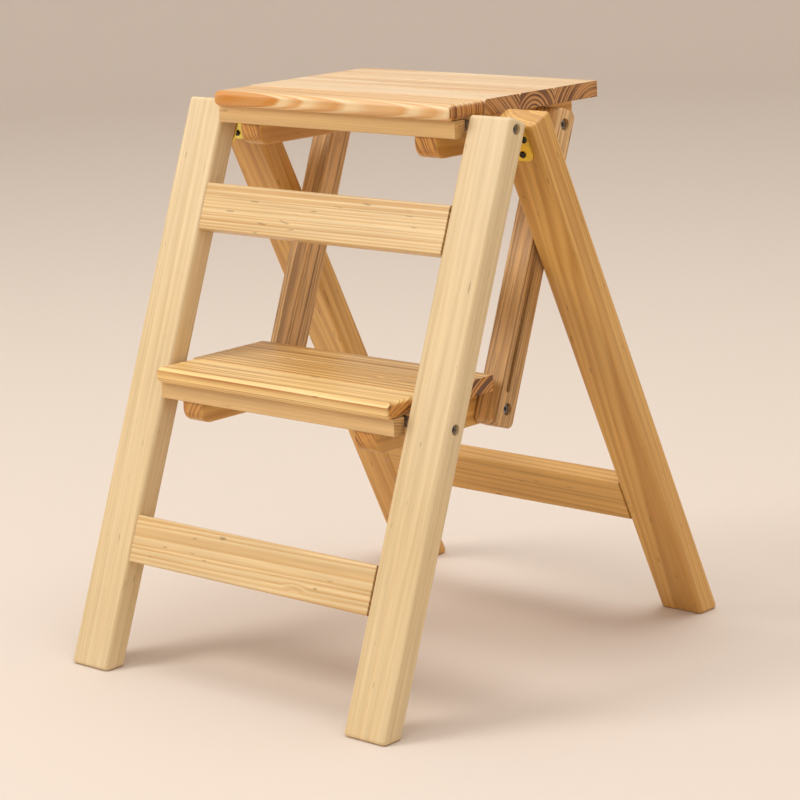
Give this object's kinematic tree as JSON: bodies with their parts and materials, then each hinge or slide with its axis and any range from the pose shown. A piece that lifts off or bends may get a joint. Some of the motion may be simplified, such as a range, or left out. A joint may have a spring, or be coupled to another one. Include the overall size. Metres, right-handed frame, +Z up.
{
  "type": "step ladder",
  "caption": "Folding wooden two-step ladder: front and rear frames hinged at the top, pivoting steps with side battens, carried at the back by a pair of parallel links.",
  "frame": {"origin": "on the floor, at the middle of the open ladder's footprint", "axes": "+X to the right across the ladder as one stands in front of it, +Y to its back (the rear frame), +Z up"},
  "size_m": [0.378, 0.4658, 0.5],
  "materials": {
    "front_leg_pine": "clear satin lacquer on pale pine",
    "rear_frame_pine": "clear satin lacquer on amber pine",
    "rail_pine": "clear satin lacquer on strongly grained pine",
    "step_pine": "clear satin lacquer on strongly grained pine",
    "crossbar_wood": "clear satin lacquer on plain fine-grained wood",
    "batten_pine": "clear satin lacquer on amber pine",
    "link_walnut": "oiled dark coarse-grained wood",
    "steel": "zinc-plated grey steel",
    "yellow_zinc": "yellow-passivated zinc plate",
    "black_screw": "black oxide"
  },
  "bodies": {
    "front_frame": {"front_leg_left": "front_leg_pine", "front_leg_right": "front_leg_pine", "front_upper_rail": "rail_pine", "front_lower_rail": "rail_pine", "top_leg_bolts": "steel", "top_leg_sleeves": "steel", "top_leg_nuts": "steel", "lower_leg_bolts": "steel", "lower_leg_sleeves": "steel", "lower_leg_nuts": "steel", "hinge_front_leaves": "yellow_zinc", "hinge_front_screws": "black_screw", "hinge_pins": "steel"},
    "top_step": {"top_stave_1": "step_pine", "top_stave_2": "step_pine", "top_stave_3": "step_pine", "top_stave_4": "step_pine", "top_crossbar": "crossbar_wood", "top_batten_left": "batten_pine", "top_batten_right": "batten_pine", "top_batten_screws": "steel", "top_link_bolts": "steel", "top_link_nuts": "steel", "top_link_washers": "steel"},
    "lower_step": {"lower_stave_1": "step_pine", "lower_stave_2": "step_pine", "lower_stave_3": "step_pine", "lower_crossbar": "crossbar_wood", "lower_batten_left": "batten_pine", "lower_batten_right": "batten_pine", "lower_batten_screws": "steel", "lower_link_bolts": "steel", "lower_link_nuts": "steel", "lower_link_washers": "steel"},
    "link_left": {"link_left": "link_walnut"},
    "link_right": {"link_right": "link_walnut"},
    "rear_frame": {"rear_leg_left": "rear_frame_pine", "rear_leg_right": "rear_frame_pine", "rear_rail": "rear_frame_pine", "rear_rail_brads": "steel", "guide_pins": "steel", "hinge_rear_leaves": "yellow_zinc", "hinge_rear_screws": "black_screw"}
  },
  "joints": [
    {"name": "top_step_pivot", "type": "hinge", "parent": "front_frame", "child": "top_step", "pos_m": [0, -0.04291, 0.48], "axis": [1, 0, 0], "range_deg": [0, 56.62]},
    {"name": "lower_step_pivot", "type": "hinge", "parent": "front_frame", "child": "lower_step", "pos_m": [0, -0.13208, 0.244], "axis": [1, 0, 0], "range_deg": [0, 56.62]},
    {"name": "link_left_pivot", "type": "hinge", "parent": "top_step", "child": "link_left", "pos_m": [-0.12875, 0.08159, 0.46716], "axis": [1, 0, 0], "range_deg": [-56.62, 0]},
    {"name": "link_right_pivot", "type": "hinge", "parent": "top_step", "child": "link_right", "pos_m": [0.12875, 0.08159, 0.46716], "axis": [1, 0, 0], "range_deg": [-56.62, 0]},
    {"name": "frame_hinge", "type": "hinge", "parent": "front_frame", "child": "rear_frame", "pos_m": [0, -0.02527, 0.47631], "axis": [1, 0, 0], "range_deg": [-46.1, 0]}
  ],
  "couplings": [
    {"joint": "lower_step_pivot", "follows": "top_step_pivot", "ratio": 1},
    {"joint": "link_left_pivot", "follows": "top_step_pivot", "ratio": -1},
    {"joint": "link_right_pivot", "follows": "top_step_pivot", "ratio": -1},
    {"joint": "frame_hinge", "follows": "top_step_pivot", "ratio": -0.81419}
  ]
}
